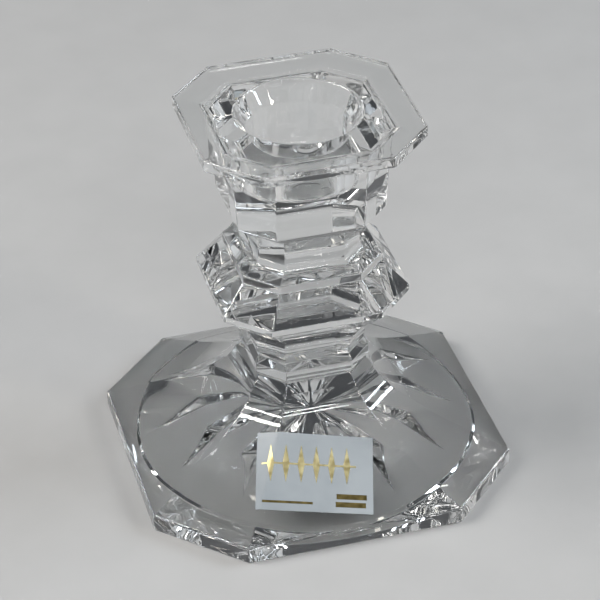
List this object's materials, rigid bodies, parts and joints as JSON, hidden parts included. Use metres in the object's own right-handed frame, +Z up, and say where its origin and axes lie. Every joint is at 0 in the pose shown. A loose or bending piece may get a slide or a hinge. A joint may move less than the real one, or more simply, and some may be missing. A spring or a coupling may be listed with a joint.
{
  "type": "glass candlestick",
  "caption": "Low clear crystal candlestick with an octagonal foot, faceted knop and octagonal cup with a round taper-candle socket and a foil-printed label.",
  "frame": {"origin": "centre of the foot's standing face, on the candle's axis", "axes": "+Z up along the candle's axis; X and Y square to the long sides of the octagons, with the label on the facet that faces -Y"},
  "size_m": [0.0834, 0.0834, 0.0868],
  "materials": {
    "crystal": "clear fire-polished lead crystal",
    "label_film": "satin translucent film",
    "gold_foil": "bright hot-stamped foil"
  },
  "bodies": {
    "root": {"glass_body": "crystal", "label_film": "label_film", "label_foil_motif": "gold_foil", "label_foil_rule": "gold_foil", "label_foil_bar_upper": "gold_foil", "label_foil_bar_lower": "gold_foil"}
  },
  "joints": []
}
